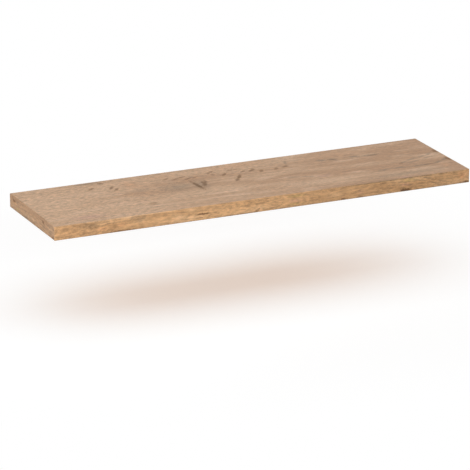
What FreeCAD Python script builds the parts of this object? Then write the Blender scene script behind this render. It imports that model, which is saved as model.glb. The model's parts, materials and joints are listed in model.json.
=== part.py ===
"""Floating wall shelf: a hollow, oak-faced board that slides onto a hidden steel bracket.

The bracket is a flat steel rail, screwed to the wall, with three rods that reach into the board.
The board is two thin skins over a chipboard frame, filled with paper honeycomb and closed with edge bands.
Two set screws in the underside hold the board on its rods.

Units are millimetres. X runs along the shelf, +Y points into the wall and +Z is up.
The origin is on the wall, at the middle of the rail's back face.
"""

import FreeCAD
import Part

import os
from math import cos, radians, sin

Vector = FreeCAD.Vector

OUTPUT_FOLDER = "parts"

# Driving dimensions of the finished board
SHELF_LENGTH = 1150.0
SHELF_DEPTH = 300.0
SHELF_THICKNESS = 36.0

# Skins and edge bands
SKIN_THICKNESS = 4.0
BAND_THICKNESS = 2.0
BAND_EDGE_FLAT = 0.2

# Frame inside the board
FRONT_RAIL_WIDTH = 45.0
END_RAIL_WIDTH = 45.0
BACK_RAIL_WIDTH = 60.0
STILE_WIDTH = 60.0
STILE_SOLID_LENGTH = 64.0

# Paper honeycomb that fills the frame's fields
CELL_PITCH = 20.0
CELL_WALL = 0.8
CORE_GAP = 1.0

# Steel rail on the wall, with its clearances in the recess of the board
RAIL_THICKNESS = 3.0
RAIL_CORNER_RADIUS = 3.0
RAIL_END_GAP = 8.0
RAIL_SIDE_GAP = 1.5
RAIL_TO_FRAME_GAP = 0.5
SCREW_HOLE_RADIUS = 2.75
COUNTERSINK_RADIUS = 5.2
COUNTERSINK_DEPTH = 1.8

# Rods, each riveted through the rail and welded round its foot
ROD_FROM_END = 175.0
ROD_RADIUS = 6.0
ROD_CHAMFER = 1.5
SPIGOT_RADIUS = 4.0
WELD_LEG = 2.5
ROD_CLEARANCE = 0.25
WELD_CLEARANCE = 0.75
BORE_END_GAP = 6.0

# Lock screws that hold the board on the left and right rods
INSERT_RADIUS = 5.0
INSERT_TO_ROD_GAP = 2.6
INSERT_BED_GAP = 0.05
FLUSH_DEPTH = 0.4
SET_SCREW_RADIUS = 2.9
THREAD_GAP = 0.1
SET_SCREW_TIP_GAP = 0.3
SET_SCREW_TIP_CHAMFER = 0.8
SOCKET_ACROSS_FLATS = 3.0
SOCKET_DEPTH = 4.0

# Staples that pin the frame's butt joints
STAPLE_CROWN = 11.0
STAPLE_LEG = 12.0
STAPLE_WIRE_WIDTH = 1.2
STAPLE_WIRE_THICKNESS = 0.6

# Cuts run past the face they leave by this much
OVERRUN = 1.0

# Edges and places closer than this count as the same
TOLERANCE = 0.001

# Places that follow from the sizes above
half_length = SHELF_LENGTH / 2
top = SHELF_THICKNESS / 2
underside = -top
core_top = top - SKIN_THICKNESS
core_bottom = -core_top
core_height = core_top - core_bottom
front = -SHELF_DEPTH
core_front = front + BAND_THICKNESS
core_half_length = half_length - BAND_THICKNESS
front_rail_back = core_front + FRONT_RAIL_WIDTH
end_rail_inner = core_half_length - END_RAIL_WIDTH
rail_front = -RAIL_THICKNESS
rail_half_length = end_rail_inner - RAIL_END_GAP
rail_half_height = core_top - RAIL_SIDE_GAP
back_rail_back = rail_front - RAIL_TO_FRAME_GAP
back_rail_front = back_rail_back - BACK_RAIL_WIDTH
bore_end = front_rail_back + STILE_SOLID_LENGTH
bore_radius = ROD_RADIUS + ROD_CLEARANCE
rod_tip = bore_end + BORE_END_GAP
outer_rod = half_length - ROD_FROM_END
rod_places = {"left": -outer_rod, "centre": 0.0, "right": outer_rod}
lock_places = {"left": -outer_rod, "right": outer_rod}
lock_y = (back_rail_front + rod_tip) / 2
screw_places = (outer_rod / 2, (outer_rod + rail_half_length) / 2)

X_AXIS = Vector(1, 0, 0)
Y_AXIS = Vector(0, 1, 0)
Z_AXIS = Vector(0, 0, 1)


def block(x_low, x_high, y_low, y_high, z_low, z_high):
    """A box between two opposite corners."""
    size = (x_high - x_low, y_high - y_low, z_high - z_low)
    return Part.makeBox(*size, Vector(x_low, y_low, z_low))


def turned(profile, place, along):
    """A solid of revolution about an axis square to X, from (distance along it, radius) points."""
    start, end = profile[0][0], profile[-1][0]
    outline = [(start, 0.0), *profile, (end, 0.0)]
    points = [place + along * distance + X_AXIS * radius for distance, radius in outline]
    return Part.Face(Part.makePolygon([*points, points[0]])).revolve(place, along, 360)


def edges_along(shape, axis):
    """The straight edges of a block that run along an axis."""
    directions = [(edge, edge.tangentAt(edge.FirstParameter)) for edge in shape.Edges]
    return [edge for edge, direction in directions if direction.cross(axis).Length < TOLERANCE]


def level_rectangle(x_low, x_high, y_low, y_high, z_level):
    """A level rectangular wire."""
    corners = [(x_low, y_low), (x_high, y_low), (x_high, y_high), (x_low, y_high), (x_low, y_low)]
    return Part.makePolygon([Vector(x, y, z_level) for x, y in corners])


def level_hexagon(centre, across_flats):
    """A level hexagonal wire with flats facing left and right."""
    corner_radius = across_flats / 2 / cos(radians(30))
    angles = [radians(30 + 60 * step) for step in range(7)]
    directions = [X_AXIS * cos(angle) + Y_AXIS * sin(angle) for angle in angles]
    return Part.makePolygon([centre + direction * corner_radius for direction in directions])


def save(name, shape):
    """Write one node's solids to its own STEP file and print what went into it."""
    solids = shape.Solids
    if not solids or not all(solid.isValid() for solid in solids):
        raise ValueError(f"{name} holds an invalid solid or none")
    shape.exportStep(os.path.join(OUTPUT_FOLDER, f"{name}.step"))
    box = shape.BoundBox
    print(f"{name}: {len(solids)} solid(s), {box.XLength:.1f} x {box.YLength:.1f} x {box.ZLength:.1f}")


# Steel bracket

def wall_rail():
    """Flat steel strip with rounded ends, holes for the rod spigots and countersunk wall screw holes."""
    rail = block(-rail_half_length, rail_half_length, rail_front, 0, -rail_half_height, rail_half_height)
    rail = rail.makeFillet(RAIL_CORNER_RADIUS, edges_along(rail, Y_AXIS))
    for x in rod_places.values():
        rail = rail.cut(Part.makeCylinder(SPIGOT_RADIUS, RAIL_THICKNESS, Vector(x, rail_front, 0), Y_AXIS))
    for x in screw_places:
        rail = rail.cut(screw_hole(-x)).cut(screw_hole(x))
    return rail


def screw_hole(x):
    """Through hole for a wall screw, with its countersink on the side away from the wall."""
    straight_end = rail_front + COUNTERSINK_DEPTH
    widening = (COUNTERSINK_RADIUS - SCREW_HOLE_RADIUS) / COUNTERSINK_DEPTH
    mouth_radius = COUNTERSINK_RADIUS + widening * OVERRUN
    profile = [
        (rail_front - OVERRUN, mouth_radius),
        (straight_end, SCREW_HOLE_RADIUS),
        (OVERRUN, SCREW_HOLE_RADIUS),
    ]
    return turned(profile, Vector(x, 0, 0), Y_AXIS)


def rod(x):
    """Round steel rod: chamfered tip, straight shank, weld fillet at its foot and spigot in the rail."""
    profile = [
        (rod_tip, ROD_RADIUS - ROD_CHAMFER),
        (rod_tip + ROD_CHAMFER, ROD_RADIUS),
        (rail_front - WELD_LEG, ROD_RADIUS),
        (rail_front, ROD_RADIUS + WELD_LEG),
        (rail_front, SPIGOT_RADIUS),
        (0, SPIGOT_RADIUS),
    ]
    return turned(profile, Vector(x, 0, 0), Y_AXIS)


# Skins and edge bands of the board

def skin(z_low):
    """Oak-faced sheet over the whole frame, to the wall at the back and to the bands elsewhere."""
    return block(-core_half_length, core_half_length, core_front, 0, z_low, z_low + SKIN_THICKNESS)


def front_band():
    """Edge band across the whole front, with every outer arris rounded."""
    band = block(-half_length, half_length, front, core_front, underside, top)
    outer_edges = [edge for edge in band.Edges if edge.CenterOfMass.y < core_front - TOLERANCE]
    return band.makeFillet(BAND_THICKNESS - BAND_EDGE_FLAT, outer_edges)


def end_band(side):
    """Edge band on one end, side -1 or 1, from the front band to the wall, with its long arrises rounded."""
    inner, outer = side * core_half_length, side * half_length
    band = block(min(inner, outer), max(inner, outer), core_front, 0, underside, top)
    long_edges = edges_along(band, Y_AXIS)
    outer_edges = [edge for edge in long_edges if abs(edge.CenterOfMass.x) > core_half_length + TOLERANCE]
    return band.makeFillet(BAND_THICKNESS - BAND_EDGE_FLAT, outer_edges)


# Frame inside the board

def front_frame_rail():
    """Chipboard rail behind the front band, the full length between the end bands."""
    return block(-core_half_length, core_half_length, core_front, front_rail_back, core_bottom, core_top)


def end_frame_rail(side):
    """Chipboard rail inside one end, side -1 or 1, up to the wall, where it closes the rail's recess."""
    inner, outer = side * end_rail_inner, side * core_half_length
    return block(min(inner, outer), max(inner, outer), front_rail_back, 0, core_bottom, core_top)


def back_frame_rail():
    """Chipboard rail in front of the steel rail, bored for the rods and counterbored for their welds."""
    rail = block(-end_rail_inner, end_rail_inner, back_rail_front, back_rail_back, core_bottom, core_top)
    weld_room = ROD_RADIUS + WELD_LEG + WELD_CLEARANCE
    weld_bed = rail_front - WELD_LEG - WELD_CLEARANCE
    profile = [
        (back_rail_front - OVERRUN, bore_radius),
        (weld_bed, bore_radius),
        (weld_bed, weld_room),
        (back_rail_back + OVERRUN, weld_room),
    ]
    for x in rod_places.values():
        rail = rail.cut(turned(profile, Vector(x, 0, 0), Y_AXIS))
    return rail


def lock_bed(x):
    """Room for a threaded insert, from the underside up into the rod's bore."""
    return Part.makeCylinder(INSERT_RADIUS + INSERT_BED_GAP, -underside, Vector(x, lock_y, underside), Z_AXIS)


def rod_stile(x):
    """Chipboard stile that carries one rod in a blind bore and ties the back rail to the front rail."""
    half_width = STILE_WIDTH / 2
    stile = block(x - half_width, x + half_width, front_rail_back, back_rail_front, core_bottom, core_top)
    bore_length = back_rail_front + OVERRUN - bore_end
    return stile.cut(Part.makeCylinder(bore_radius, bore_length, Vector(x, bore_end, 0), Y_AXIS))


def honeycomb(x_low, x_high):
    """Expanded paper core for the field between two stiles: hexagonal cells inside a thin rim."""
    x_low, x_high = x_low + CORE_GAP, x_high - CORE_GAP
    y_low, y_high = front_rail_back + CORE_GAP, back_rail_front - CORE_GAP
    rim = level_rectangle(x_low, x_high, y_low, y_high, core_bottom)
    inside = level_rectangle(
        x_low + CELL_WALL, x_high - CELL_WALL, y_low + CELL_WALL, y_high - CELL_WALL, core_bottom
    )
    middle = Vector((x_low + x_high) / 2, (y_low + y_high) / 2, core_bottom)
    row_pitch = CELL_PITCH * cos(radians(30))
    reach_x = int((x_high - x_low) / CELL_PITCH / 2) + 1
    reach_y = int((y_high - y_low) / row_pitch / 2) + 1
    cells = []
    for row in range(-reach_y, reach_y + 1):
        shift = CELL_PITCH / 2 if row % 2 else 0.0
        for column in range(-reach_x, reach_x + 1):
            centre = middle + X_AXIS * (column * CELL_PITCH + shift) + Y_AXIS * (row * row_pitch)
            cells.append(Part.Face(level_hexagon(centre, CELL_PITCH - CELL_WALL)))
    openings = Part.Face(inside).common(Part.makeCompound(cells))
    walls = Part.makeFace([rim, *[cell.OuterWire for cell in openings.Faces]], "Part::FaceMakerBullseye")
    return walls.extrude(Z_AXIS * core_height)


# Staples across the frame's butt joints

def staple(crown_middle, along, inwards):
    """One staple with its crown flush in a face of the frame. inwards, -1 or 1, is where its legs point."""
    half_crown = STAPLE_CROWN / 2
    inner_half = half_crown - STAPLE_WIRE_THICKNESS
    outline = [
        (-half_crown, 0.0),
        (half_crown, 0.0),
        (half_crown, STAPLE_LEG),
        (inner_half, STAPLE_LEG),
        (inner_half, STAPLE_WIRE_THICKNESS),
        (-inner_half, STAPLE_WIRE_THICKNESS),
        (-inner_half, STAPLE_LEG),
        (-half_crown, STAPLE_LEG),
    ]
    sideways = along.cross(Z_AXIS)
    start = crown_middle - sideways * (STAPLE_WIRE_WIDTH / 2)
    points = [start + along * distance + Z_AXIS * (inwards * depth) for distance, depth in outline]
    return Part.Face(Part.makePolygon([*points, points[0]])).extrude(sideways * STAPLE_WIRE_WIDTH)


def all_staples():
    """Two staples over every butt joint of the frame, one in the upper and one in the lower face.

    They sit a quarter of the joint's width to either side of its middle, clear of the rods' bores.
    """
    joints = []
    for x in rod_places.values():
        for y in (front_rail_back, back_rail_front):
            joints.append((Vector(x, y, 0), Y_AXIS, X_AXIS * (STILE_WIDTH / 4)))
    for side in (-1, 1):
        front_corner = Vector(side * (end_rail_inner + core_half_length) / 2, front_rail_back, 0)
        back_corner = Vector(side * end_rail_inner, (back_rail_front + back_rail_back) / 2, 0)
        joints.append((front_corner, Y_AXIS, X_AXIS * (END_RAIL_WIDTH / 4)))
        joints.append((back_corner, X_AXIS, Y_AXIS * (BACK_RAIL_WIDTH / 4)))
    staples = []
    for middle, along, aside in joints:
        staples.append(staple(middle + aside + Z_AXIS * core_top, along, -1))
        staples.append(staple(middle - aside + Z_AXIS * core_bottom, along, 1))
    return Part.makeCompound(staples)


# Lock screws and their inserts

def lock_insert(x):
    """Plain-bored threaded insert, pressed in from the underside and ending short of the rod."""
    base = Vector(x, lock_y, underside + FLUSH_DEPTH)
    length = -ROD_RADIUS - INSERT_TO_ROD_GAP - base.z
    body = Part.makeCylinder(INSERT_RADIUS, length, base, Z_AXIS)
    hole_radius = SET_SCREW_RADIUS + THREAD_GAP
    return body.cut(Part.makeCylinder(hole_radius, length + 2 * OVERRUN, base - Z_AXIS * OVERRUN, Z_AXIS))


def lock_screw(x):
    """Set screw with a hexagon socket below and a chamfered tip that stops just under the rod."""
    head, tip = underside + FLUSH_DEPTH, -ROD_RADIUS - SET_SCREW_TIP_GAP
    profile = [
        (head, SET_SCREW_RADIUS),
        (tip - SET_SCREW_TIP_CHAMFER, SET_SCREW_RADIUS),
        (tip, SET_SCREW_RADIUS - SET_SCREW_TIP_CHAMFER),
    ]
    screw = turned(profile, Vector(x, lock_y, 0), Z_AXIS)
    socket_start = Vector(x, lock_y, head - OVERRUN)
    socket = Part.Face(level_hexagon(socket_start, SOCKET_ACROSS_FLATS))
    return screw.cut(socket.extrude(Z_AXIS * (SOCKET_DEPTH + OVERRUN)))


def build():
    """Every node's name and shape."""
    nodes = {"wall_rail": wall_rail()}
    for side, x in rod_places.items():
        nodes[f"{side}_rod"] = rod(x)

    nodes["top_skin"] = skin(core_top)
    nodes["bottom_skin"] = skin(underside)
    nodes["front_edge_band"] = front_band()
    nodes["left_edge_band"] = end_band(-1)
    nodes["right_edge_band"] = end_band(1)

    frame = {
        "front_frame_rail": front_frame_rail(),
        "left_frame_rail": end_frame_rail(-1),
        "right_frame_rail": end_frame_rail(1),
        "back_frame_rail": back_frame_rail(),
    }
    for side, x in rod_places.items():
        frame[f"{side}_rod_stile"] = rod_stile(x)
    staples = all_staples()
    for name, piece in frame.items():
        nodes[name] = piece.cut(staples)
    nodes["frame_staples"] = staples

    for side, x in lock_places.items():
        bed = lock_bed(x)
        nodes["bottom_skin"] = nodes["bottom_skin"].cut(bed)
        nodes[f"{side}_rod_stile"] = nodes[f"{side}_rod_stile"].cut(bed)
        nodes[f"{side}_lock_insert"] = lock_insert(x)
        nodes[f"{side}_lock_screw"] = lock_screw(x)

    half_stile = STILE_WIDTH / 2
    fields = {
        "left_outer": (-end_rail_inner, -outer_rod - half_stile),
        "left_inner": (-outer_rod + half_stile, -half_stile),
        "right_inner": (half_stile, outer_rod - half_stile),
        "right_outer": (outer_rod + half_stile, end_rail_inner),
    }
    for field, (x_low, x_high) in fields.items():
        nodes[f"{field}_honeycomb"] = honeycomb(x_low, x_high)
    return nodes


os.makedirs(OUTPUT_FOLDER, exist_ok=True)
for node_name, node_shape in build().items():
    save(node_name, node_shape)
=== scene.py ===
"""Looks of a floating wall shelf, built round its packed construction.

The board is faced all round with a printed knotty oak decor. Behind it show the raw chipboard frame and a
powder-coated steel bracket, and in the underside sit two brass inserts with black set screws.

Every length is in metres. X runs along the shelf, +Y points into the wall and +Z is up.
"""

import json
import logging
from dataclasses import dataclass
from enum import Enum
from math import atan2, cos, degrees, pi, radians, sin
from typing import Optional, Sequence, Union

import bmesh
import bpy
from bmesh.types import BMEdge, BMesh, BMVert
from bpy.types import Material, Mesh, Node, NodeSocket, NodeTree, Object
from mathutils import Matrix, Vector

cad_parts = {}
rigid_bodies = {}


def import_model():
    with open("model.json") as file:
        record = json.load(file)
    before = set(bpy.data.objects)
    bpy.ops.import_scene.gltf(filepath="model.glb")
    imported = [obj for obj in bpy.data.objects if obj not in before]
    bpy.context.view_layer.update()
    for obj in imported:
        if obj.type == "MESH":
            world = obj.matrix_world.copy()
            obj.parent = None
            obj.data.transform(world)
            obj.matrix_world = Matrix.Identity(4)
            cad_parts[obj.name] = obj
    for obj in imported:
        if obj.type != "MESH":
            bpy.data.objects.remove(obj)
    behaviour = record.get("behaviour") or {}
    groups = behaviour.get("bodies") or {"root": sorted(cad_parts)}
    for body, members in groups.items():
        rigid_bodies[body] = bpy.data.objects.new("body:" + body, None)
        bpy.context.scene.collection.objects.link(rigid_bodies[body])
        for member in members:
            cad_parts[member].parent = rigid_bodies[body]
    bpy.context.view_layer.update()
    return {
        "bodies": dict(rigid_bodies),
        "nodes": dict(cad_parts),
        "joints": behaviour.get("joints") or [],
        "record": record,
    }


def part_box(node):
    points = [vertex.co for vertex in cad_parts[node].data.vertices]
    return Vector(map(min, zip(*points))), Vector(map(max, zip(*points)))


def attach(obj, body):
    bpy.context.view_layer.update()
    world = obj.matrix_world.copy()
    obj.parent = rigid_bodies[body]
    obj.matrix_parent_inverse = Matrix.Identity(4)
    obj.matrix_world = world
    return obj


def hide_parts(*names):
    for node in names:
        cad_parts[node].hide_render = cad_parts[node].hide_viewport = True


LOG = logging.getLogger("shelf")

MM = 0.001
MERGE = 0.002 * MM
STROKE_OVERLAP = 1.25

Colour = tuple[float, float, float]
Place = tuple[float, float, float]
Pair = tuple[float, float]
Plug = Union[float, Sequence[float], NodeSocket]
Sockets = dict[Union[str, int], Plug]


class Face(Enum):
    """Which side of the board a decor is printed on."""

    TOP = "top"
    UNDERSIDE = "underside"
    FRONT = "front"
    END = "end"


class MarkKind(Enum):
    """What a mark looks like. Most are oak print; the dark smoky kind also draws painted shade, the pale kind
    a painted highlight.
    """

    CRACK = "crack"
    SMOKE_AND_SHADE = "smoke_and_shade"
    GLOW = "glow"
    PALE_AND_HIGHLIGHT = "pale"
    ROSE = "rose"
    MOSS = "moss"


class Graph:
    """Builds the node tree of one material, a socket at a time."""

    def __init__(self, name: str, tree: Optional[NodeTree] = None) -> None:
        """Start an empty tree in a new material, or empty the tree that is given.

        Args:
            name: The new material's name.
            tree: A tree that exists, such as a world's; then no material is made.
        """
        self.material = None if tree else bpy.data.materials.new(name)
        if self.material:
            self.material.use_nodes = True
        self.tree = tree or self.material.node_tree
        self.tree.nodes.clear()

    def add(self, kind: str, sockets: Optional[Sockets] = None, **settings: object) -> Node:
        """Add a node.

        Args:
            kind: The node's type name.
            sockets: What goes into its inputs, by name or number.
            settings: Properties of the node.

        Returns:
            The new node.
        """
        node = self.tree.nodes.new(kind)
        for key, value in settings.items():
            setattr(node, key, value)
        for key, value in (sockets or {}).items():
            if isinstance(value, NodeSocket):
                self.tree.links.new(value, node.inputs[key])
            else:
                node.inputs[key].default_value = value
        return node

    def math(self, operation: str, first: Plug, second: Plug = 0.0, clamp: bool = False) -> NodeSocket:
        """Join two numbers by one of the Math node's operations and return the result."""
        node = self.add("ShaderNodeMath", {0: first, 1: second}, operation=operation, use_clamp=clamp)
        return node.outputs[0]

    def mix(self, share: Plug, first: Plug, second: Plug, blend: str = "MIX") -> NodeSocket:
        """Mix two colours and return the result.

        Args:
            share: How much of the second colour there is, from 0 to 1.
            first: Colour at share 0, as red, green and blue or a socket.
            second: Colour at share 1.
            blend: The Mix node's blend type.

        Returns:
            The mixed colour.
        """
        ends = [end if isinstance(end, NodeSocket) else (*end, 1.0) for end in (first, second)]
        node = self.add(
            "ShaderNodeMix", {0: share, 6: ends[0], 7: ends[1]}, data_type="RGBA", blend_type=blend
        )
        return node.outputs[2]

    def fade(self, value: Plug, start: float, end: float, low: float = 0.0, high: float = 1.0) -> NodeSocket:
        """Return a number eased from low, where it is at start, to high, where it is at end."""
        sockets = {"Value": value, "From Min": start, "From Max": end, "To Min": low, "To Max": high}
        return self.add("ShaderNodeMapRange", sockets, interpolation_type="SMOOTHSTEP").outputs[0]

    def scaled(self, point: NodeSocket, factors: Sequence[float],
               offset: Sequence[float] = (0.0, 0.0, 0.0)) -> NodeSocket:
        """Return the point with each coordinate times its factor, plus its offset."""
        sockets = {0: point, 1: factors, 2: offset}
        return self.add("ShaderNodeVectorMath", sockets, operation="MULTIPLY_ADD").outputs[0]

    def noise(self, point: NodeSocket, detail: float = 3.0, roughness: float = 0.55) -> NodeSocket:
        """Return smooth noise from 0 to 1 at a point."""
        sockets = {"Vector": point, "Scale": 1.0, "Detail": detail, "Roughness": roughness}
        return self.add("ShaderNodeTexNoise", sockets).outputs[0]

    def place(self) -> NodeSocket:
        """Return the point in the piece's own axes."""
        return self.add("ShaderNodeTexCoord").outputs["Object"]

    def axes(self, point: NodeSocket) -> Sequence[NodeSocket]:
        """Return the point's three coordinates."""
        return self.add("ShaderNodeSeparateXYZ", {0: point}).outputs

    def bump(self, height: NodeSocket, relief: float, strength: float) -> NodeSocket:
        """Return the surface's direction once a relief of the given depth is laid on it."""
        sockets = {"Strength": strength, "Distance": relief, "Height": height}
        return self.add("ShaderNodeBump", sockets).outputs[0]

    def finish(self, shader: Sockets) -> Material:
        """Close the tree with a Principled shader.

        Args:
            shader: What goes into the shader's inputs.

        Returns:
            The finished material.
        """
        surface = self.add("ShaderNodeBsdfPrincipled", shader)
        output = self.add("ShaderNodeOutputMaterial")
        self.tree.links.new(surface.outputs[0], output.inputs[0])
        return self.material


@dataclass(frozen=True)
class Mark:
    """One mark on the oak print, an ellipse with a ragged edge; a few are painted shade and highlight lines.

    Places and sizes are in millimetres on the printed face, along its grain and across it.
    """

    kind: MarkKind
    along: float
    across: float
    length: float
    width: float
    turn: float = 0.0
    strength: float = 1.0

    def mask(self, graph: Graph, point: NodeSocket, ragged: NodeSocket) -> NodeSocket:
        """Work out how strongly the mark shows at a point.

        Args:
            graph: The tree that is being built.
            point: The point on the printed face, in metres.
            ragged: Noise about zero that frays the edge.

        Returns:
            The mark's share, from 0 to its strength.
        """
        sockets = {
            "Vector": point,
            "Location": (self.along * MM, self.across * MM, 0.0),
            "Rotation": (0.0, 0.0, radians(self.turn)),
            "Scale": (self.length / 2 * MM, self.width / 2 * MM, 1.0),
        }
        local = graph.add("ShaderNodeMapping", sockets, vector_type="TEXTURE").outputs[0]
        distance = graph.add("ShaderNodeVectorMath", {0: local}, operation="LENGTH").outputs["Value"]
        core = 0.45 if self.kind is MarkKind.CRACK else 0.0
        return graph.fade(graph.math("ADD", distance, ragged), core, 1.15, self.strength, 0.0)


def stroke(kind: MarkKind, places: Sequence[Pair], width: float, strength: float) -> tuple[Mark, ...]:
    """Chain marks along a bent line.

    Args:
        kind: What the line looks like.
        places: Points on the line, in millimetres along and across the grain.
        width: The line's width in millimetres.
        strength: How strongly it shows.

    Returns:
        One mark for each stretch of the line.
    """
    marks = []
    for start, end in zip(places, places[1:]):
        step = Vector(end) - Vector(start)
        middle = (Vector(start) + Vector(end)) / 2
        turn = degrees(atan2(step.y, step.x))
        length = step.length * STROKE_OVERLAP
        marks.append(Mark(kind, middle.x, middle.y, length, width, turn, strength))
    return tuple(marks)


@dataclass(frozen=True)
class OakTones:
    """Colours of one oak print."""

    tan: Colour = (0.565, 0.350, 0.200)
    # Pale print, also the ink of the painted highlight along the front's top arris
    pale: Colour = (0.655, 0.430, 0.268)
    umber: Colour = (0.425, 0.230, 0.110)
    crack: Colour = (0.120, 0.060, 0.026)
    # Dark smoky print, also the ink of the painted shade lines along the bands' lower arrises
    smoke_and_shade: Colour = (0.220, 0.145, 0.078)
    glow: Colour = (0.55, 0.290, 0.140)
    rose: Colour = (0.50, 0.270, 0.190)
    moss: Colour = (0.50, 0.350, 0.110)


FRONT_TONES = OakTones(
    tan=(0.625, 0.364, 0.178), pale=(0.715, 0.455, 0.255), umber=(0.500, 0.275, 0.125), glow=(0.66, 0.34, 0.16)
)
END_TONES = OakTones(
    tan=(0.490, 0.275, 0.128), pale=(0.580, 0.360, 0.190), umber=(0.400, 0.215, 0.100), glow=(0.52, 0.27, 0.11)
)


@dataclass(frozen=True)
class OakDecor:
    """Printed knotty oak on one face of the board, with the bare sheet where the print ends.

    Each scale says how many times a pattern changes in a metre, along the grain and across it.
    """

    name: str
    face: Face
    tones: OakTones
    marks: tuple[Mark, ...] = ()
    layer: float = 0.0
    # Painted shade: how strongly the print darkens towards +X, standing in for light that falls off along the
    # board
    painted_shade_along: float = 0.0
    wander_scale: Pair = (2.6, 6.0)
    wander_reach: float = 12.0 * MM
    cloud_scale: Pair = (2.0, 16.0)
    patch_scale: Pair = (7.0, 26.0)
    patch_strength: float = 0.75
    mottle_scale: Pair = (72.0, 150.0)
    mottle_area_scale: Pair = (3.0, 9.0)
    mottle_depth: float = 0.30
    streak_scale: Pair = (5.0, 230.0)
    fleck_scale: Pair = (60.0, 240.0)
    grain_depth: float = 0.14
    pore_scale: Pair = (80.0, 1300.0)
    pore_depth: float = 0.40
    fray_scale: Pair = (150.0, 300.0)
    fray_depth: float = 0.4
    roughness: float = 0.46
    roughness_change: float = 0.06
    relief: float = 0.05 * MM
    print_thickness: float = 0.3 * MM
    sheet_dark: Colour = (0.30, 0.19, 0.11)
    sheet_light: Colour = (0.40, 0.26, 0.15)
    sheet_roughness: float = 0.9

    def figure(self, graph: Graph, point: NodeSocket, scale: Pair, detail: float = 3.0,
               roughness: float = 0.55) -> NodeSocket:
        """Return noise drawn out along the grain, from a layer of its own for each face."""
        stretched = graph.scaled(point, (*scale, 1.0), (0.0, 0.0, self.layer))
        return graph.noise(stretched, detail, roughness)

    def point(self, graph: Graph, axes: Sequence[NodeSocket]) -> NodeSocket:
        """Find the point on the face in its own two axes.

        Args:
            graph: The tree that is being built.
            axes: The point's three coordinates in the board's axes.

        Returns:
            The point, in metres along the grain and across it.
        """
        along = axes[1] if self.face is Face.END else axes[0]
        across = axes[1] if self.face in (Face.TOP, Face.UNDERSIDE) else axes[2]
        return graph.add("ShaderNodeCombineXYZ", {0: along, 1: across}).outputs[0]

    def bent(self, graph: Graph, point: NodeSocket) -> NodeSocket:
        """Move the point across the grain by a slow wander, so that the grain isn't straight.

        Args:
            graph: The tree that is being built.
            point: The point on the printed face.

        Returns:
            The moved point.
        """
        wander = self.figure(graph, point, self.wander_scale, detail=2.0)
        sideways = graph.fade(wander, 0.2, 0.8, -self.wander_reach, self.wander_reach)
        offset = graph.add("ShaderNodeCombineXYZ", {1: sideways}).outputs[0]
        return graph.add("ShaderNodeVectorMath", {0: point, 1: offset}, operation="ADD").outputs[0]

    def base_tone(self, graph: Graph, bent: NodeSocket) -> NodeSocket:
        """Spread wide clouds of umber, tan and pale, and paint shade that darkens them towards +X.

        Args:
            graph: The tree that is being built.
            bent: The point on the printed face, moved by the wander.

        Returns:
            The print's colour without grain and marks.
        """
        cloud = self.figure(graph, bent, self.cloud_scale)
        # Painted shade: the clouds turn to umber towards +X
        darker = graph.math("MULTIPLY", graph.axes(bent)[0], self.painted_shade_along)
        cloud = graph.math("SUBTRACT", cloud, darker)
        patch = self.figure(graph, bent, self.patch_scale, detail=2.0)
        colour = graph.mix(graph.fade(cloud, 0.32, 0.64), self.tones.umber, self.tones.tan)
        share = graph.fade(patch, 0.50, 0.75, 0.0, self.patch_strength)
        return graph.mix(share, colour, self.tones.pale)

    def mottle(self, graph: Graph, point: NodeSocket) -> NodeSocket:
        """Work out the blotchy light and dark of rough knotty wood.

        Args:
            graph: The tree that is being built.
            point: The point on the printed face.

        Returns:
            How much lighter or darker the print is, most in a few wide areas.
        """
        blotch = self.figure(graph, point, self.mottle_scale, detail=6.0, roughness=0.72)
        area = self.figure(graph, point, self.mottle_area_scale, detail=1.0)
        # The same painted-shade factor also weakens the mottle towards +X
        darker = graph.math("MULTIPLY", graph.axes(point)[0], 2 * self.painted_shade_along)
        area = graph.math("SUBTRACT", area, darker)
        depth = graph.fade(area, 0.35, 0.65, 0.45 * self.mottle_depth, self.mottle_depth)
        return graph.math("MULTIPLY", graph.fade(blotch, 0.3, 0.7, -1.0, 1.0), depth)

    def marked(self, graph: Graph, point: NodeSocket, colour: NodeSocket) -> tuple[NodeSocket, Plug]:
        """Lay the placed marks over the print.

        Args:
            graph: The tree that is being built.
            point: The point on the printed face.
            colour: The print without its marks.

        Returns:
            The print with them, and where it is cracked.
        """
        fray = self.figure(graph, point, self.fray_scale)
        ragged = graph.fade(fray, 0.2, 0.8, -self.fray_depth, self.fray_depth)
        inks = {
            MarkKind.PALE_AND_HIGHLIGHT: self.tones.pale,
            MarkKind.GLOW: self.tones.glow,
            MarkKind.ROSE: self.tones.rose,
            MarkKind.MOSS: self.tones.moss,
            MarkKind.SMOKE_AND_SHADE: self.tones.smoke_and_shade,
            MarkKind.CRACK: self.tones.crack,
        }
        cracked: Plug = 0.0
        for kind, ink in inks.items():
            share: Plug = 0.0
            for mark in self.marks:
                if mark.kind is kind:
                    share = graph.math("MAXIMUM", share, mark.mask(graph, point, ragged))
            colour = graph.mix(share, colour, ink)
            if kind is MarkKind.CRACK:
                cracked = share
        return colour, cracked

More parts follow.
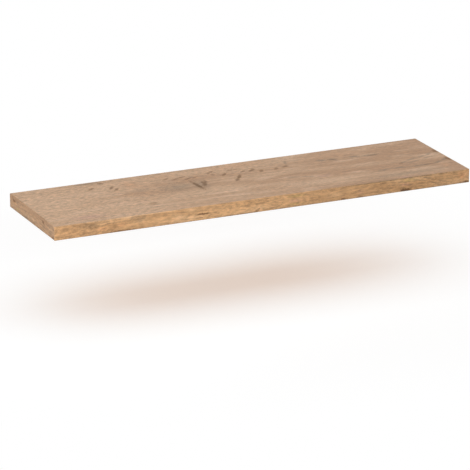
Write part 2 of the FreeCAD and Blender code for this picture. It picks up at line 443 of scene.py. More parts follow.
    def bare_sheet(self, graph: Graph, place: NodeSocket, colour: NodeSocket,
                   rough: NodeSocket) -> tuple[NodeSocket, NodeSocket]:
        """Show the skin's bare brown sheet wherever the print doesn't reach.

        Args:
            graph: The tree that is being built.
            place: The point in the board's axes.
            colour: The print's colour.
            rough: The print's roughness.

        Returns:
            Colour and roughness with the bare sheet.
        """
        print_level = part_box("top_skin")[1].z - self.print_thickness
        level = graph.math("ABSOLUTE", graph.axes(place)[2])
        printed = graph.math("GREATER_THAN", level, print_level)
        fibre = graph.noise(graph.scaled(place, (900.0, 900.0, 1400.0)), detail=4.0)
        brown = graph.mix(graph.fade(fibre, 0.3, 0.7), self.sheet_dark, self.sheet_light)
        rough = graph.math("MAXIMUM", rough, graph.math("SUBTRACT", self.sheet_roughness, printed))
        return graph.mix(printed, brown, colour), rough

    def build(self) -> Material:
        """Build the print.

        Returns:
            A material with base tones, grain, pores and the placed marks.
        """
        graph = Graph(self.name)
        place = graph.place()
        point = self.point(graph, graph.axes(place))
        bent = self.bent(graph, point)
        colour, cracked = self.marked(graph, point, self.base_tone(graph, bent))

        streak = self.figure(graph, bent, self.streak_scale, detail=4.0, roughness=0.65)
        fleck = self.figure(graph, bent, self.fleck_scale, roughness=0.6)
        pores = graph.fade(self.figure(graph, bent, self.pore_scale, detail=2.0), 0.60, 0.72)
        depth = self.grain_depth
        lines = graph.fade(streak, 0.3, 0.7, -depth, depth)
        lines = graph.math("ADD", lines, graph.fade(fleck, 0.3, 0.7, -depth, depth))
        grain = graph.math("ADD", lines, self.mottle(graph, point))
        shade = graph.math("ADD", grain, 1.0)
        shade = graph.math("SUBTRACT", shade, graph.math("MULTIPLY", pores, self.pore_depth))
        tone = graph.add("ShaderNodeCombineXYZ", {0: shade, 1: shade, 2: shade}).outputs[0]
        colour = graph.mix(1.0, colour, tone, "MULTIPLY")

        change = self.roughness_change
        rough = graph.fade(streak, 0.2, 0.8, self.roughness + change, self.roughness - change)
        rough = graph.math("ADD", rough, graph.math("MULTIPLY", cracked, 0.4), clamp=True)
        if self.face in (Face.TOP, Face.UNDERSIDE):
            colour, rough = self.bare_sheet(graph, place, colour, rough)
        bump = graph.bump(graph.math("SUBTRACT", streak, pores), self.relief, 0.35)
        shader = {"Base Color": colour, "Roughness": rough, "Normal": bump}
        return graph.finish(shader | {"IOR": 1.5, "Specular IOR Level": 0.38})


@dataclass(frozen=True)
class Chipboard:
    """Pressed wood chips: flat flakes of mixed browns with a crumbly sawn surface."""

    name: str = "chipboard"
    light: Colour = (0.56, 0.40, 0.24)
    dark: Colour = (0.30, 0.18, 0.09)
    bark: Colour = (0.10, 0.055, 0.03)
    relief: float = 0.3 * MM

    def build(self) -> Material:
        """Build the finish.

        Returns:
            The finished material.
        """
        graph = Graph(self.name)
        place = graph.place()
        flaked = graph.scaled(place, (260.0, 260.0, 620.0))
        flake = graph.add("ShaderNodeTexVoronoi", {"Vector": flaked, "Scale": 1.0})
        kind = graph.add("ShaderNodeSeparateColor", {0: flake.outputs["Color"]}).outputs
        colour = graph.mix(kind[0], self.light, self.dark)
        colour = graph.mix(graph.fade(kind[1], 0.86, 0.90, 0.0, 0.8), colour, self.bark)
        crumb = graph.noise(graph.scaled(place, (1400.0, 1400.0, 1400.0)), detail=4.0)
        colour = graph.mix(graph.fade(crumb, 0.55, 0.75, 0.0, 0.5), colour, self.dark)
        height = graph.math("ADD", crumb, flake.outputs["Distance"])
        bump = graph.bump(height, self.relief, 0.7)
        rough = graph.fade(crumb, 0.3, 0.7, 0.95, 0.80)
        return graph.finish({"Base Color": colour, "Roughness": rough, "Normal": bump})


@dataclass(frozen=True)
class KraftPaper:
    """Brown unbleached paper with long fibres."""

    name: str = "core_paper"
    light: Colour = (0.46, 0.30, 0.16)
    dark: Colour = (0.32, 0.19, 0.095)
    relief: float = 0.1 * MM

    def build(self) -> Material:
        """Build the finish.

        Returns:
            The finished material.
        """
        graph = Graph(self.name)
        place = graph.place()
        fibre = graph.noise(graph.scaled(place, (500.0, 500.0, 2400.0)), detail=5.0, roughness=0.7)
        blotch = graph.noise(graph.scaled(place, (60.0, 60.0, 60.0)))
        colour = graph.mix(graph.fade(fibre, 0.3, 0.7), self.dark, self.light)
        colour = graph.mix(graph.fade(blotch, 0.4, 0.7, 0.0, 0.35), colour, self.dark)
        bump = graph.bump(fibre, self.relief, 0.5)
        rough = graph.fade(blotch, 0.3, 0.7, 0.95, 0.85)
        return graph.finish({"Base Color": colour, "Roughness": rough, "Normal": bump})


@dataclass(frozen=True)
class PowderCoat:
    """Baked black powder paint with an orange-peel skin."""

    name: str = "rail_steel"
    black: Colour = (0.026, 0.026, 0.028)
    dusty: Colour = (0.045, 0.045, 0.047)
    roughness: float = 0.45
    relief: float = 0.08 * MM

    def build(self) -> Material:
        """Build the finish.

        Returns:
            The finished material.
        """
        graph = Graph(self.name)
        place = graph.place()
        peel = graph.noise(graph.scaled(place, (700.0, 700.0, 700.0)), detail=2.0)
        dust = graph.noise(graph.scaled(place, (40.0, 40.0, 40.0)), detail=5.0, roughness=0.7)
        colour = graph.mix(graph.fade(dust, 0.45, 0.75), self.black, self.dusty)
        bump = graph.bump(peel, self.relief, 0.4)
        rough = graph.fade(dust, 0.3, 0.7, self.roughness - 0.05, self.roughness + 0.10)
        return graph.finish({"Base Color": colour, "Roughness": rough, "Normal": bump})


@dataclass(frozen=True)
class WorkedMetal:
    """Bare or oiled metal with fine tool marks and a little tarnish."""

    name: str
    bright: Colour
    tarnished: Colour
    roughness: float
    relief: float = 0.03 * MM

    def build(self) -> Material:
        """Build the finish.

        Returns:
            The finished material.
        """
        graph = Graph(self.name)
        place = graph.place()
        tool = graph.noise(graph.scaled(place, (500.0, 500.0, 9000.0)), detail=3.0)
        stain = graph.noise(graph.scaled(place, (350.0, 350.0, 350.0)), detail=5.0, roughness=0.7)
        colour = graph.mix(graph.fade(stain, 0.45, 0.75), self.bright, self.tarnished)
        bump = graph.bump(tool, self.relief, 0.25)
        rough = graph.fade(stain, 0.3, 0.7, self.roughness - 0.06, self.roughness + 0.12)
        return graph.finish({"Base Color": colour, "Metallic": 1.0, "Roughness": rough, "Normal": bump})


CRACK, SMOKE_AND_SHADE, PALE_AND_HIGHLIGHT = MarkKind.CRACK, MarkKind.SMOKE_AND_SHADE, MarkKind.PALE_AND_HIGHLIGHT
GLOW, ROSE, MOSS = MarkKind.GLOW, MarkKind.ROSE, MarkKind.MOSS

TOP_MARKS = (
    # Knot left of the middle, with the smoky grain that trails from it
    Mark(SMOKE_AND_SHADE, -170, -132, 130, 84, 0, 0.55),
    Mark(SMOKE_AND_SHADE, -108, -134, 64, 96, 0, 0.60),
    Mark(SMOKE_AND_SHADE, -265, -116, 60, 36, 0, 0.40),
    Mark(CRACK, -118, -138, 88, 14, 94, 0.66),
    Mark(CRACK, -96, -130, 60, 13, 68, 0.59),
    Mark(CRACK, -92, -118, 24, 20, 60, 0.56),
    # Flecks behind it, towards the wall
    Mark(SMOKE_AND_SHADE, -372, -9, 80, 22, 0, 0.70),
    Mark(CRACK, -337, -19, 18, 16, 0, 0.52),
    Mark(CRACK, -377, -54, 31, 10, 40, 0.56),
    Mark(CRACK, -325, -65, 34, 9, 55, 0.56),
    Mark(CRACK, -318, -82, 29, 10, 50, 0.56),
    Mark(CRACK, -172, -56, 26, 9, 30, 0.45),
    Mark(CRACK, -150, -66, 29, 9, 30, 0.45),
    Mark(CRACK, -128, -56, 29, 9, 20, 0.45),
    Mark(CRACK, -120, -76, 34, 9, 30, 0.45),
    Mark(CRACK, -96, -70, 26, 9, 30, 0.42),
    *stroke(CRACK, ((-56, -60), (-48, -48), (-34, -46)), 9, 0.52),
    *stroke(CRACK, ((-52, -66), (-40, -72)), 9, 0.42),
    Mark(CRACK, -19, -80, 31, 10, 45, 0.59),
    Mark(CRACK, -280, -228, 34, 20, 40, 0.32),
    # Open crack in the middle and the row of flecks that runs from it
    *stroke(CRACK, ((-12, -142), (2, -124), (17, -101)), 12, 0.66),
    *stroke(CRACK, ((0, -56), (18, -50), (38, -54)), 9, 0.42),
    *stroke(CRACK, ((28, -82), (44, -70)), 10, 0.49),
    *stroke(CRACK, ((52, -82), (72, -66)), 12, 0.59),
    *stroke(CRACK, ((76, -98), (88, -82)), 12, 0.56),
    *stroke(CRACK, ((118, -96), (130, -82)), 12, 0.52),
    *stroke(CRACK, ((144, -86), (162, -77)), 13, 0.63),
    *stroke(SMOKE_AND_SHADE, ((162, -68), (172, -36)), 12, 0.70),
    # Smears and long streaks on the right
    *stroke(SMOKE_AND_SHADE, ((246, -72), (276, -76), (306, -80)), 20, 0.85),
    *stroke(CRACK, ((272, -78), (302, -80)), 9, 0.32),
    *stroke(SMOKE_AND_SHADE, ((334, -72), (372, -84), (424, -86)), 18, 0.80),
    *stroke(CRACK, ((392, -86), (420, -86)), 9, 0.32),
    *stroke(SMOKE_AND_SHADE, ((115, -170), (150, -180), (188, -190)), 12, 0.60),
    *stroke(SMOKE_AND_SHADE, ((348, -219), (391, -212), (445, -218), (514, -218), (545, -204), (568, -186)), 15, 0.85),
    *stroke(CRACK, ((486, -218), (532, -214)), 9, 0.32),
    *stroke(SMOKE_AND_SHADE, ((433, -186), (460, -169), (499, -154), (529, -146), (552, -130)), 13, 0.75),
    *stroke(SMOKE_AND_SHADE, ((445, -192), (499, -173), (545, -157)), 12, 0.55),
    *stroke(CRACK, ((432, -186), (444, -180)), 10, 0.35),
    Mark(CRACK, 568, -123, 16, 34, 0, 0.52),
    Mark(CRACK, 568, -196, 16, 34, 0, 0.52),
    Mark(SMOKE_AND_SHADE, 420, -266, 260, 34, 0, 0.50),
    # Warm, pink and pale clouds
    Mark(GLOW, -272, -62, 66, 76, 0, 0.70),
    Mark(GLOW, -180, -30, 130, 44, 0, 0.45),
    Mark(GLOW, 30, -24, 260, 46, 0, 0.60),
    Mark(GLOW, 330, -40, 260, 54, 0, 0.35),
    Mark(GLOW, 537, -241, 40, 46, 0, 0.60),
    Mark(ROSE, -470, -262, 110, 44, 0, 0.60),
    Mark(ROSE, 391, -293, 44, 18, 0, 0.70),
    Mark(ROSE, 210, -196, 60, 30, 0, 0.40),
    Mark(PALE_AND_HIGHLIGHT, -500, -130, 190, 120, 0, 0.45),
    Mark(PALE_AND_HIGHLIGHT, -360, -190, 190, 80, 0, 0.40),
    Mark(PALE_AND_HIGHLIGHT, 180, -235, 300, 60, 0, 0.35),
)

UNDERSIDE_MARKS = TOP_MARKS[:4]

FRONT_MARKS = (
    Mark(SMOKE_AND_SHADE, -480, 8, 90, 22, 0, 0.50),
    Mark(SMOKE_AND_SHADE, -351, 8, 66, 24, 0, 0.50),
    Mark(CRACK, -421, -2, 26, 22, 60, 0.25),
    Mark(GLOW, -452, -4, 40, 14, 0, 0.70),
    Mark(GLOW, -398, 0, 34, 16, 0, 0.60),
    Mark(CRACK, -396, -16, 80, 6, 0, 0.60),
    Mark(CRACK, -176, -2, 36, 6, 0, 0.80),
    Mark(CRACK, -28, -13, 24, 7, 30, 0.65),
    Mark(CRACK, 212, -15, 20, 7, 0, 0.65),
    Mark(CRACK, 263, -15, 22, 7, 0, 0.60),
    Mark(CRACK, 390, -14, 38, 9, 0, 0.90),
    Mark(CRACK, 566, -15, 18, 8, 0, 0.65),
    Mark(MOSS, 80, 11, 56, 10, 0, 0.52),
    Mark(MOSS, 80, -10, 50, 7, 0, 0.39),
    Mark(MOSS, 400, 11, 54, 11, 0, 0.52),
    Mark(ROSE, 82, -1, 50, 11, 0, 0.52),
    Mark(ROSE, 390, 0, 40, 10, 0, 0.49),
    Mark(ROSE, 263, -2, 26, 16, 0, 0.29),
    Mark(GLOW, 554, 3, 34, 22, 0, 0.80),
    Mark(PALE_AND_HIGHLIGHT, 562, 4, 16, 12, -40, 0.60),
    # A dark line along the top arris over the right half
    Mark(SMOKE_AND_SHADE, 350, 17, 470, 5, 0, 0.80),
    # Painted shade: a dark line along the whole bottom arris
    Mark(SMOKE_AND_SHADE, 0, -18, 2600, 7, 0, 0.75),
    # Painted highlight: a pale line along the top arris on the left
    Mark(PALE_AND_HIGHLIGHT, -370, 17, 460, 3, 0, 0.70),
    *stroke(SMOKE_AND_SHADE, ((410, 12), (450, 2), (490, -12)), 5, 0.60),
    *stroke(SMOKE_AND_SHADE, ((436, 14), (476, 3), (516, -10)), 5, 0.55),
    *stroke(SMOKE_AND_SHADE, ((470, 14), (505, 4), (540, -8)), 4, 0.45),
)

LEFT_END_MARKS = (
    Mark(CRACK, -30, 6, 22, 10, 0, 0.60),
    Mark(GLOW, -30, 2, 36, 15, 0, 0.80),
    Mark(MOSS, -52, -9, 22, 9, 0, 0.80),
    Mark(SMOKE_AND_SHADE, -110, -14, 60, 9, 0, 0.85),
    Mark(CRACK, -225, 8, 16, 10, 0, 0.60),
    Mark(GLOW, -200, -4, 36, 10, 0, 0.70),
    Mark(CRACK, -289, -14, 18, 8, 0, 0.60),
    Mark(PALE_AND_HIGHLIGHT, -275, 4, 44, 18, 0, 0.60),
    # Painted shade: a dark line along the end's bottom arris
    Mark(SMOKE_AND_SHADE, -150, -18, 700, 6, 0, 0.60),
)


def finished_mesh(name: str, mesh: BMesh, smooth_angle: float = 35.0) -> Mesh:
    """Turn a bmesh into mesh data that is closed, faces outwards and is smooth across its rounded parts.

    Args:
        name: The mesh's name.
        mesh: The bmesh, which is freed.
        smooth_angle: Edges sharper than this many degrees stay crisp.

    Returns:
        The new mesh data.
    """
    bmesh.ops.remove_doubles(mesh, verts=mesh.verts, dist=MERGE)
    bmesh.ops.recalc_face_normals(mesh, faces=mesh.faces)
    data = bpy.data.meshes.new(name)
    mesh.to_mesh(data)
    mesh.free()
    data.shade_smooth()
    data.set_sharp_from_angle(angle=radians(smooth_angle))
    return data


def add_piece(name: str, mesh: BMesh, finish: Material, body: str, replaced: str) -> Object:
    """Put a new piece into the scene in place of a node.

    Args:
        name: The piece's name.
        mesh: Its shape, which is freed.
        finish: Its material.
        body: The body that it moves with.
        replaced: The node that it stands for.

    Returns:
        The new object.
    """
    piece = bpy.data.objects.new(name, finished_mesh(name, mesh))
    piece.data.materials.append(finish)
    bpy.context.scene.collection.objects.link(piece)
    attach(piece, body)
    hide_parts(replaced)
    LOG.info("%s: %d faces, rides on %s", name, len(piece.data.polygons), body)
    return piece


def dress(frame: dict, node: str, finish: Material) -> None:
    """Give a node of the construction its material.

    Args:
        node: The node's name.
        finish: Its material.
    """
    materials = frame["nodes"][node].data.materials
    materials.clear()
    materials.append(finish)
    LOG.info("%s: %s", node, finish.name)


def lathe(outline: Sequence[Pair], axis: Vector, steps: int, closed: bool = False) -> BMesh:
    """Spin an outline once round an axis through the origin.

    Args:
        outline: Points as place along the axis and radius.
        axis: The axis, Y or Z.
        steps: How many faces go round.
        closed: Whether the outline runs back to its first point, as for a ring.

    Returns:
        The turned shape.
    """
    mesh = bmesh.new()
    verts = [mesh.verts.new(axis * along + Vector((radius, 0, 0))) for along, radius in outline]
    pairs = list(zip(verts, verts[1:])) + ([(verts[-1], verts[0])] if closed else [])
    edges = [mesh.edges.new(pair) for pair in pairs]
    bmesh.ops.spin(
        mesh, geom=[*verts, *edges], cent=(0, 0, 0), axis=axis, angle=2 * pi, steps=steps, use_merge=True
    )
    bmesh.ops.remove_doubles(mesh, verts=mesh.verts, dist=MERGE / 4)
    return mesh


@dataclass(frozen=True)
class OakBoard:
    """The board's printed outside: two skins and three rounded edge bands."""

    rounding: float = 1.8 * MM
    rounding_steps: int = 6

    def build(self, frame: dict) -> None:
        """Dress the skins and make the bands.
        """
        # The top's print carries painted shade, darker towards +X
        top = OakDecor("oak_top", Face.TOP, OakTones(), TOP_MARKS, painted_shade_along=0.30)
        underside = OakDecor("oak_underside", Face.UNDERSIDE, OakTones(), UNDERSIDE_MARKS, layer=21.0)
        dress(frame, "top_skin", top.build())
        dress(frame, "bottom_skin", underside.build())
        front = OakDecor("oak_front", Face.FRONT, FRONT_TONES, FRONT_MARKS, layer=3.7)
        left = OakDecor("oak_left_end", Face.END, END_TONES, LEFT_END_MARKS, layer=9.1)
        right = OakDecor("oak_right_end", Face.END, END_TONES, layer=14.3)
        bands = (("front", front, (0, -1, 0)), ("left", left, (-1, 0, 0)), ("right", right, (1, 0, 0)))
        for side, decor, outwards in bands:
            node = f"{side}_edge_band"
            band = self.band(node, Vector(outwards))
            add_piece(f"{side}_band", band, decor.build(), "board", node)

    def band(self, node: str, outwards: Vector) -> BMesh:
        """Shape one edge band.

        Args:
            node: The node whose box it fills.
            outwards: Where its printed face looks.

        Returns:
            The band with its outer arrises rounded, the end bands' only along their length.
        """
        low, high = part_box(node)
        middle = (low + high) / 2
        mesh = bmesh.new()
        bmesh.ops.create_cube(mesh, size=1.0)
        bmesh.ops.scale(mesh, verts=mesh.verts, vec=high - low)
        bmesh.ops.translate(mesh, verts=mesh.verts, vec=middle)
        front_face = abs(outwards.y) > 0.5
        outer = []
        for edge in mesh.edges:
            centre = (edge.verts[0].co + edge.verts[1].co) / 2
            is_outer = (centre - middle).dot(outwards) > 0
            runs_along = abs(edge.verts[0].co.y - edge.verts[1].co.y) > 0.5 * (high.y - low.y)
            if is_outer and (front_face or runs_along):
                outer.append(edge)
        bmesh.ops.bevel(
            mesh, geom=outer, offset=self.rounding, offset_type="OFFSET", segments=self.rounding_steps,
            profile=0.5, affect="EDGES", material=-1, clamp_overlap=False,
        )
        return mesh


@dataclass(frozen=True)
class FrameAndCore:
    """Chipboard frame, its staples and the paper honeycomb, as built."""

    rails: tuple[str, ...] = (
        "front_frame_rail", "left_frame_rail", "right_frame_rail", "back_frame_rail",
        "left_rod_stile", "centre_rod_stile", "right_rod_stile",
    )
    cores: tuple[str, ...] = (
        "left_outer_honeycomb", "left_inner_honeycomb", "right_inner_honeycomb", "right_outer_honeycomb",
    )

    def build(self, frame: dict) -> None:
        """Dress every piece inside the board.
        """
        chips = Chipboard().build()
        paper = KraftPaper().build()
        wire = WorkedMetal("staple_wire", (0.62, 0.61, 0.58), (0.40, 0.38, 0.35), 0.30)
        for node in self.rails:
            dress(frame, node, chips)
        for node in self.cores:
            dress(frame, node, paper)
        dress(frame, "frame_staples", wire.build())


@dataclass(frozen=True)
class Bracket:
    """Black steel rail on the wall with three rods welded to it."""

    rods: tuple[str, ...] = ("left_rod", "centre_rod", "right_rod")
    rail_thickness: float = 3.0 * MM
    rod_radius: float = 6.0 * MM
    tip_chamfer: float = 1.5 * MM
    tip_easing: Pair = (0.15 * MM, 0.2 * MM)
    shoulder_easing: Pair = (0.3 * MM, 0.05 * MM)
    weld_leg: float = 2.5 * MM
    weld_swell: float = 0.12
    weld_facets: int = 6
    weld_ripples: int = 14
    ripple_depth: float = 0.25 * MM
    ripple_margin: float = 0.05 * MM
    spigot_radius: float = 4.0 * MM
    spigot_easing: float = 0.3 * MM
    rail_easing: float = 0.35 * MM
    sharp_angle: float = 50.0
    steps: int = 96

    def build(self, frame: dict) -> None:
        """Make the rods and the rail.
        """
        paint = PowderCoat().build()
        add_piece("rail", self.rail(frame), paint, "bracket", "wall_rail")
        for node in self.rods:
            add_piece(f"{node}_welded", self.rod(node), paint, "bracket", node)

    def rail(self, frame: dict) -> BMesh:
        """Ease the sharp edges of a merged copy of the rail, as grit blasting leaves them.


        Returns:
            The eased rail.
        """
        mesh = bmesh.new()
        mesh.from_mesh(frame["nodes"]["wall_rail"].data)
        bmesh.ops.remove_doubles(mesh, verts=mesh.verts, dist=MERGE)
        bmesh.ops.dissolve_limit(mesh, angle_limit=radians(0.5), verts=mesh.verts, edges=mesh.edges)
        limit = radians(self.sharp_angle)
        sharp = [edge for edge in mesh.edges if edge.is_manifold and edge.calc_face_angle() > limit]
        bmesh.ops.bevel(
            mesh, geom=sharp, offset=self.rail_easing, offset_type="OFFSET", segments=2, profile=0.5,
            affect="EDGES", material=-1, clamp_overlap=True,
        )
        return mesh

    def rod(self, node: str) -> BMesh:
        """Turn one rod with its chamfered tip, rippled weld and riveted spigot.

        Args:
            node: The node that the rod replaces, which gives its place and length.

        Returns:
            The rod.
        """
        low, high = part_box(node)
        tip, rail_face = low.y, -self.rail_thickness
        leg, radius, chamfer = self.weld_leg, self.rod_radius, self.tip_chamfer
        weld = []
        for step in range(self.weld_facets + 1):
            share = step / self.weld_facets
            size = leg * (1 - self.weld_swell * sin(pi * share))
            weld.append((rail_face - (1 - share) * size, radius + share * size))
        outline = [
            (tip, 0.0),
            (tip, radius - chamfer - self.tip_easing[1]),
            (tip + self.tip_easing[0], radius - chamfer),
            (tip + chamfer, radius - self.shoulder_easing[1]),
            (tip + chamfer + self.shoulder_easing[0], radius),
            *weld,
            (rail_face, self.spigot_radius),
            (-self.spigot_easing, self.spigot_radius),
            (0.0, self.spigot_radius - self.spigot_easing),
            (0.0, 0.0),
        ]
        mesh = lathe(outline, Vector((0, 1, 0)), self.steps)
        for vert in mesh.verts:
            distance = Vector((vert.co.x, vert.co.z)).length
            outside = distance > radius + self.ripple_margin
            if outside and vert.co.y < rail_face - self.ripple_margin:
                angle = atan2(vert.co.z, vert.co.x)
                height = (distance - radius) / leg
                dip = self.ripple_depth * (0.5 + 0.5 * sin(self.weld_ripples * angle - 3 * height))
                share = (distance - dip * height) / distance
                vert.co.x *= share
                vert.co.z *= share
        bmesh.ops.translate(mesh, verts=mesh.verts, vec=((low.x + high.x) / 2, 0, 0))
        return mesh


@dataclass(frozen=True)
class LockScrew:
    """Black M6 set screw in a brass insert, in the board's underside."""

    side: str
    thread_radius: float = 2.9 * MM
    thread_depth: float = 0.5 * MM
    crest_shares: Pair = (0.44, 0.56)
    pitch: float = 1.0 * MM
    tip_chamfer: float = 0.8 * MM
    socket_across_flats: float = 3.0 * MM
    socket_depth: float = 4.0 * MM
    bore_radius: float = 3.0 * MM
    mouth_chamfer: float = 0.5 * MM
    insert_easing: float = 0.2 * MM
    steps: int = 32

    def build(self, brass: Material, steel: Material) -> None:
        """Make the insert, which stays in the board, and the screw, which travels in it.

        Args:
            brass: The insert's material.
            steel: The screw's material.
        """
        insert, screw = f"{self.side}_lock_insert", f"{self.side}_lock_screw"
        add_piece(f"{self.side}_insert", self.insert(insert), brass, "board", insert)
        add_piece(f"{self.side}_screw", self.screw(screw), steel, f"{self.side}_lock", screw)

    def insert(self, node: str) -> BMesh:
        """Turn the insert, a brass ring with a countersunk mouth.

        Args:
            node: The node that it replaces, which gives its place and size.

        Returns:
            The insert.
        """
        low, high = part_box(node)
        outer, bore, chamfer = (high.x - low.x) / 2, self.bore_radius, self.mouth_chamfer
        ease = self.insert_easing
        outline = [
            (low.z, bore + chamfer), (low.z, outer - ease), (low.z + ease, outer), (high.z - ease, outer),
            (high.z, outer - ease), (high.z, bore + ease), (high.z - ease, bore), (low.z + chamfer, bore),
        ]
        mesh = lathe(outline, Vector((0, 0, 1)), 2 * self.steps, closed=True)
        bmesh.ops.translate(mesh, verts=mesh.verts, vec=((low.x + high.x) / 2, (low.y + high.y) / 2, 0))
        return mesh

    def screw(self, node: str) -> BMesh:
        """Cut the thread, trim it to length and sink the hexagon socket.

        Args:
            node: The node that it replaces, which gives its place and length.

        Returns:
            The screw.
        """
        low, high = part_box(node)
        mesh = self.thread(low.z, high.z)
        for vert in mesh.verts:
            limit = self.thread_radius - max(0.0, vert.co.z - (high.z - self.tip_chamfer))
            distance = Vector((vert.co.x, vert.co.y)).length
            if distance > limit:
                vert.co.x *= limit / distance
                vert.co.y *= limit / distance
        rims = []
        for level, outwards in ((low.z, -1), (high.z, 1)):
            cut = bmesh.ops.bisect_plane(
                mesh, geom=[*mesh.verts, *mesh.edges, *mesh.faces], dist=MERGE / 20, plane_co=(0, 0, level),
                plane_no=(0, 0, outwards), clear_outer=True,
            )
            rims.append([part for part in cut["geom_cut"] if isinstance(part, BMEdge)])
        bmesh.ops.edgeloop_fill(mesh, edges=rims[1])
        self.socket(mesh, rims[0], low.z)
        bmesh.ops.translate(mesh, verts=mesh.verts, vec=((low.x + high.x) / 2, (low.y + high.y) / 2, 0))
        return mesh

    def thread(self, start: float, end: float) -> BMesh:
        """Wind one thread profile up the screw, a pitch beyond both ends.

        Args:
            start: Level of the screw's lower end.
            end: Level of its upper end.

        Returns:
            The thread's surface, open at both ends.
        """
        turns = int((end - start) / self.pitch) + 4
        root, crest = self.thread_radius - self.thread_depth, self.thread_radius
        rise, fall = self.crest_shares
        profile = ((0.0, root), (rise, crest), (fall, crest), (1.0, root))
        mesh = bmesh.new()
        base = start - 2 * self.pitch
        verts = [mesh.verts.new((radius, 0, base + share * self.pitch)) for share, radius in profile]
        edges = [mesh.edges.new(pair) for pair in zip(verts, verts[1:])]
        bmesh.ops.spin(
            mesh, geom=[*verts, *edges], cent=(0, 0, 0), axis=(0, 0, 1), angle=2 * pi * turns,
            steps=self.steps * turns, dvec=(0, 0, self.pitch / self.steps),
        )
        bmesh.ops.remove_doubles(mesh, verts=mesh.verts, dist=2 * MERGE)
        return mesh

    def socket(self, mesh: BMesh, rim: Sequence[BMEdge], level: float) -> None:
        """Close the screw's head round a hexagon socket.

        Args:
            mesh: The screw, open at its head.
            rim: The edges round the open head.
            level: The head's level.
        """
        corner_radius = self.socket_across_flats / 2 / cos(radians(30))
        hexagon = bmesh.ops.create_circle(mesh, segments=6, radius=corner_radius)["verts"]
        bmesh.ops.translate(mesh, verts=hexagon, vec=(0, 0, level))
        sides = list({edge for vert in hexagon for edge in vert.link_edges})
        bmesh.ops.bridge_loops(mesh, edges=[*rim, *sides])
        walls = bmesh.ops.extrude_edge_only(mesh, edges=sides)["geom"]
        floor = [part for part in walls if isinstance(part, BMVert)]
        bmesh.ops.translate(mesh, verts=floor, vec=(0, 0, self.socket_depth))
        floor_rim = [edge for edge in walls if isinstance(edge, BMEdge) and set(edge.verts) <= set(floor)]
        bmesh.ops.contextual_create(mesh, geom=floor_rim)


@dataclass(frozen=True)
class Softbox:
    """A rectangular studio lamp."""

    name: str
    place: Place
    aim: Place
    width: float
    height: float
    power: float

    def build(self) -> None:
        """Hang the lamp and turn it to what it lights."""
        data = bpy.data.lights.new(self.name, "AREA")
        data.shape = "RECTANGLE"
        data.size = self.width
        data.size_y = self.height
        data.energy = self.power
        lamp = bpy.data.objects.new(self.name, data)
        lamp.location = self.place
        aim = Vector(self.aim) - Vector(self.place)
        lamp.rotation_euler = aim.to_track_quat("-Z", "Y").to_euler()
        bpy.context.scene.collection.objects.link(lamp)


@dataclass(frozen=True)
class Floor:
    """White floor that takes the board's soft shadow from the lamps, with its warm colour and its fading edge
    painted in.
    """

    size: float = 30.0
    plain: float = 0.80
    tint: Colour = (0.66, 0.88, 1.0)
    light_received: float = 0.68
    white: float = 1.00
    shadow_reach: tuple[float, float] = (0.0, 0.98)
    shadow_middle: tuple[float, float] = (-0.08, -0.15)
    shadow_core: float = 0.13

    def build(self, height: float) -> None:
        """Lay the floor.

        Args:
            height: The floor's level.
        """
        mesh = bmesh.new()
        bmesh.ops.create_grid(mesh, x_segments=4, y_segments=4, size=self.size / 2)
        bmesh.ops.translate(mesh, verts=mesh.verts, vec=(0, 0, height))
        data = bpy.data.meshes.new("floor")
        mesh.to_mesh(data)
        mesh.free()
        data.materials.append(self.paint())
        floor = bpy.data.objects.new("floor", data)
        bpy.context.scene.collection.objects.link(floor)

    def paint(self) -> Material:
        """Make the floor's material, which looks pure white wherever no shadow falls.

        Returns:
            Plain white to most rays, to the camera a tinted white topped up by a glow, and clear from below.
        """
        graph = Graph("floor_white")
        place = graph.place()
        axes = graph.axes(place)
        # Painted fade: the lamps' shadow shows only near the board and fades to plain white by the end of
        # shadow_reach; the tint makes it warm
        along = graph.math("ABSOLUTE", graph.math("SUBTRACT", axes[0], self.shadow_middle[0]))
        beyond = graph.math("MAXIMUM", graph.math("SUBTRACT", along, self.shadow_core), 0.0)
        across = graph.math("SUBTRACT", axes[1], self.shadow_middle[1])
        squares = [graph.math("MULTIPLY", leg, leg) for leg in (beyond, across)]
        away = graph.math("SQRT", graph.math("ADD", *squares))
        far = graph.fade(away, *self.shadow_reach)
        tint = graph.mix(far, self.tint, (0.0, 0.0, 0.0))
        rest = tuple(self.white - share * self.light_received for share in self.tint)
        glow = graph.mix(far, rest, (self.white, self.white, self.white))
        tinted = graph.add("ShaderNodeBsdfDiffuse", {"Color": tint})
        shining = graph.add("ShaderNodeEmission", {"Color": glow})
        topped_up = graph.add("ShaderNodeAddShader", {0: tinted.outputs[0], 1: shining.outputs[0]})
        plain = graph.add("ShaderNodeBsdfDiffuse", {"Color": (self.plain, self.plain, self.plain, 1.0)})
        share = {0: seen_rays(graph), 1: plain.outputs[0], 2: topped_up.outputs[0]}
        lit = graph.add("ShaderNodeMixShader", share).outputs[0]
        below = graph.add("ShaderNodeNewGeometry").outputs["Backfacing"]
        clear = graph.add("ShaderNodeBsdfTransparent").outputs[0]
        one_sided = graph.add("ShaderNodeMixShader", {0: below, 1: lit, 2: clear}).outputs[0]
        output = graph.add("ShaderNodeOutputMaterial")
        graph.tree.links.new(one_sided, output.inputs[0])
        return graph.material


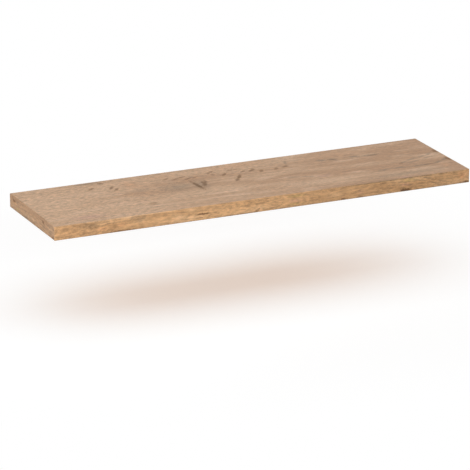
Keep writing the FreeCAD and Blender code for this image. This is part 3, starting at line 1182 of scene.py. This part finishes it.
@dataclass(frozen=True)
class Studio:
    """White floor and background, soft lamps and the photograph's camera."""

    floor_drop: float = 0.235
    ambient: float = 0.12
    camera_place: Place = (-3.5767, -7.8734, 2.6857)
    camera_azimuth: float = -24.7248
    camera_elevation: float = 18.2854
    camera_lens: float = 268.44
    camera_reach: float = 100.0
    lamps: tuple[Softbox, ...] = (
        Softbox("overhead", (-0.10, -0.15, 1.02), (-0.10, -0.15, 0.0), 6.8, 1.3, 28.0),
        Softbox("key", (-2.30, -3.60, 0.60), (-0.20, -0.20, 0.0), 1.5, 1.5, 105.0),
        Softbox("fill", (-2.20, 3.00, 0.70), (0.0, -0.10, 0.0), 1.5, 1.5, 14.0),
    )

    def build(self, underside: float) -> None:
        """Build the whole studio.

        Args:
            underside: Height of the board's lower face.
        """
        bpy.context.scene.view_settings.view_transform = "Standard"
        self.place_camera()
        self.light_world()
        Floor().build(underside - self.floor_drop)
        for lamp in self.lamps:
            lamp.build()

    def place_camera(self) -> None:
        """Set the camera at the photograph's viewing angle."""
        data = bpy.data.cameras.new("camera")
        data.lens = self.camera_lens
        data.clip_end = self.camera_reach
        camera = bpy.data.objects.new("camera", data)
        camera.location = self.camera_place
        camera.rotation_euler = (radians(90 - self.camera_elevation), 0.0, radians(self.camera_azimuth))
        bpy.context.scene.collection.objects.link(camera)
        bpy.context.scene.camera = camera

    def light_world(self) -> None:
        """Give a faint even light, and white to all that looks straight at the background."""
        world = bpy.data.worlds.new("studio")
        world.use_nodes = True
        graph = Graph("studio", world.node_tree)
        strength = graph.fade(seen_rays(graph), 0.0, 1.0, self.ambient, 1.0)
        background = graph.add("ShaderNodeBackground", {"Strength": strength, "Color": (1.0, 1.0, 1.0, 1.0)})
        output = graph.add("ShaderNodeOutputWorld")
        graph.tree.links.new(background.outputs[0], output.inputs[0])
        world.cycles.sampling_method = "NONE"
        bpy.context.scene.world = world


def seen_rays(graph: Graph) -> NodeSocket:
    """Tell the rays that show a surface from those that only carry its light.

    Args:
        graph: The tree that is being built.

    Returns:
        1 for rays from the camera, from gloss and through glass, and 0 for the rest.
    """
    path = graph.add("ShaderNodeLightPath").outputs
    mirrored = graph.math("MAXIMUM", path["Is Glossy Ray"], path["Is Transmission Ray"])
    return graph.math("MAXIMUM", path["Is Camera Ray"], mirrored)


def main() -> None:
    """Dress the shelf and build the studio."""
    logging.basicConfig(level=logging.INFO, format="%(message)s")
    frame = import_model()
    OakBoard().build(frame)
    FrameAndCore().build(frame)
    Bracket().build(frame)
    brass = WorkedMetal("insert_brass", (0.62, 0.44, 0.17), (0.36, 0.24, 0.09), 0.34).build()
    steel = WorkedMetal("screw_steel", (0.10, 0.10, 0.105), (0.05, 0.05, 0.05), 0.38).build()
    for side in ("left", "right"):
        LockScrew(side).build(brass, steel)
    Studio().build(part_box("bottom_skin")[0].z)


if __name__ == "__main__":
    main()
